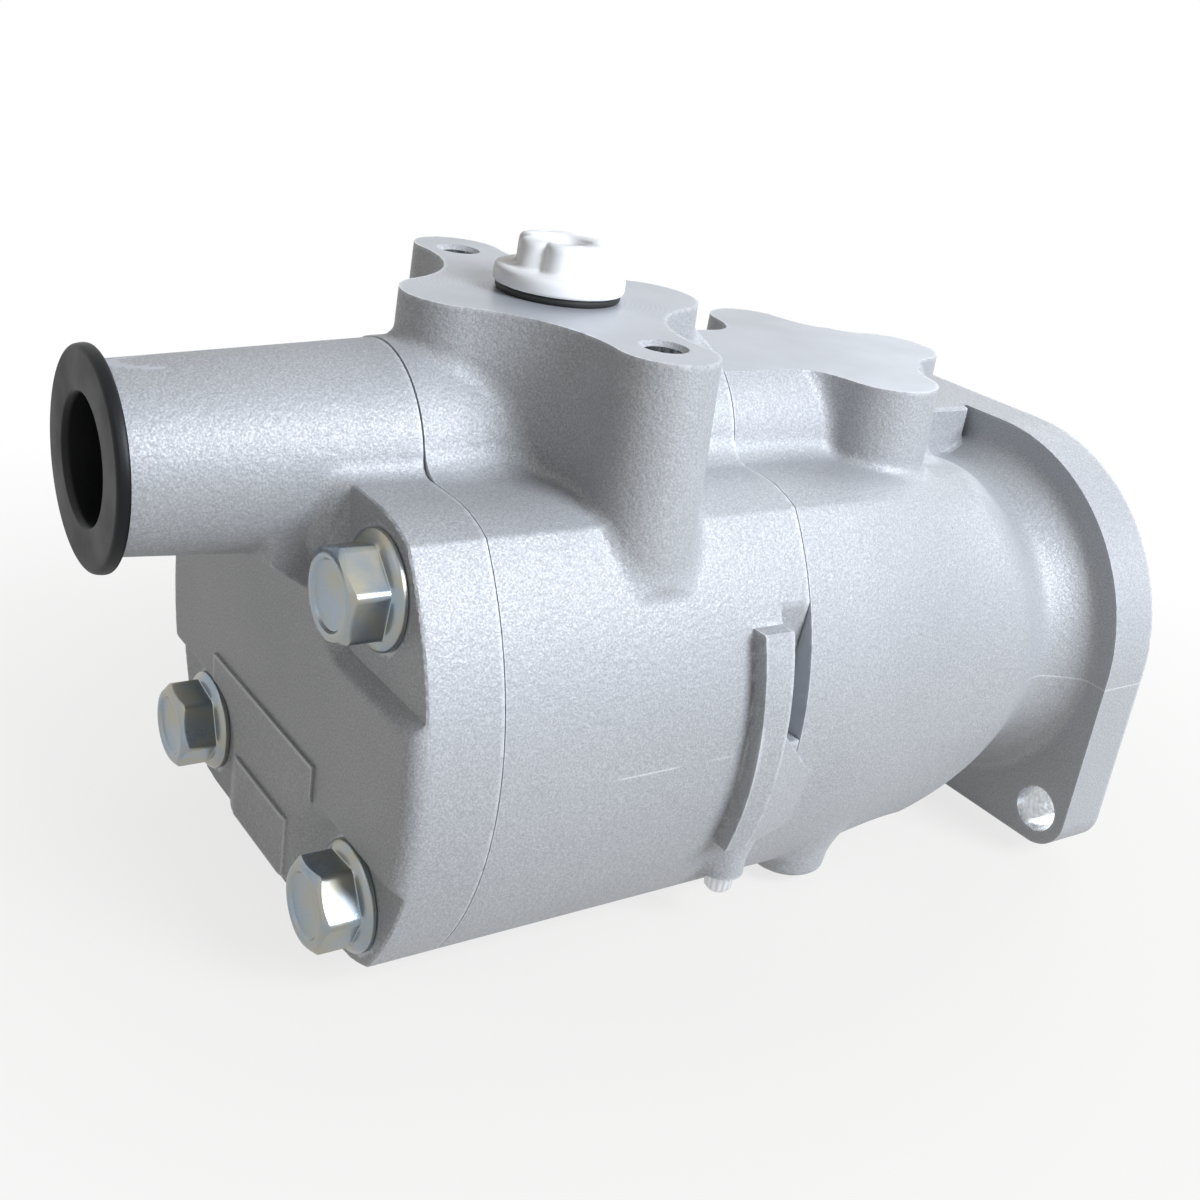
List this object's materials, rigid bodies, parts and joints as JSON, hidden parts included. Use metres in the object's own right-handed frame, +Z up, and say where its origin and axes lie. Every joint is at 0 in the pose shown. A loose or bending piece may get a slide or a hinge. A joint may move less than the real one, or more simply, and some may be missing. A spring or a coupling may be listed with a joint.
{
  "type": "hydraulic pump",
  "caption": "Tandem hydraulic gear pump in a cast aluminium housing, with a suction branch, flat port pads, a mounting flange and a keyed input shaft.",
  "frame": {"origin": "where the drive shaft axis meets the mounting face of the flange", "axes": "+X along the drive shaft, out of the mounting face; +Z up, towards the port pads"},
  "size_m": [0.2586, 0.1191, 0.1292],
  "materials": {
    "cast_aluminium": "shot blasted casting",
    "black_plastic": "moulded, satin",
    "white_plastic": "moulded polyethylene",
    "rubber": "matt",
    "zinc_steel": "zinc plated",
    "steel": "ground",
    "block_aluminium": "machined",
    "bronze": "bearing bronze",
    "bright_aluminium": "bright turned"
  },
  "bodies": {
    "housing": {"rear_cover": "cast_aluminium", "rear_body": "cast_aluminium", "front_body": "cast_aluminium", "cover_bolts": "zinc_steel", "cover_dowels": "steel", "body_dowels": "steel", "cover_seal": "rubber", "body_seal": "rubber", "suction_o_rings": "rubber", "rear_outer_bearing_block": "block_aluminium", "rear_inner_bearing_block": "block_aluminium", "front_inner_bearing_block": "block_aluminium", "front_outer_bearing_block": "block_aluminium", "rear_bushes": "bronze", "front_bushes": "bronze", "rear_side_seals": "rubber", "front_side_seals": "rubber", "shaft_seal": "rubber", "seal_spring": "steel", "seal_retaining_ring": "steel", "gallery_plug": "bright_aluminium"},
    "drive_train": {"front_drive_gear": "steel", "rear_drive_gear": "steel", "coupling_sleeve": "steel", "drive_key": "steel"},
    "rear_driven": {"rear_driven_gear": "steel"},
    "front_driven": {"front_driven_gear": "steel"},
    "branch_plug": {"suction_plug": "black_plastic"},
    "pad_plug": {"port_plug": "white_plastic", "port_plug_o_ring": "rubber"}
  },
  "joints": [
    {"name": "drive_spin", "type": "hinge", "parent": "housing", "child": "drive_train", "pos_m": [0, 0, 0], "axis": [1, 0, 0], "continuous": true},
    {"name": "rear_driven_spin", "type": "hinge", "parent": "housing", "child": "rear_driven", "pos_m": [-0.1399, 0.032, 0], "axis": [1, 0, 0], "continuous": true},
    {"name": "front_driven_spin", "type": "hinge", "parent": "housing", "child": "front_driven", "pos_m": [-0.075, 0.032, 0], "axis": [1, 0, 0], "continuous": true},
    {"name": "branch_plug_pull", "type": "slide", "parent": "housing", "child": "branch_plug", "axis": [-1, 0, 0], "range_m": [0, 0.03]},
    {"name": "pad_plug_pull", "type": "slide", "parent": "housing", "child": "pad_plug", "axis": [0, 0, 1], "range_m": [0, 0.025]}
  ],
  "couplings": [
    {"joint": "rear_driven_spin", "follows": "drive_spin", "ratio": -1},
    {"joint": "front_driven_spin", "follows": "drive_spin", "ratio": -1}
  ]
}
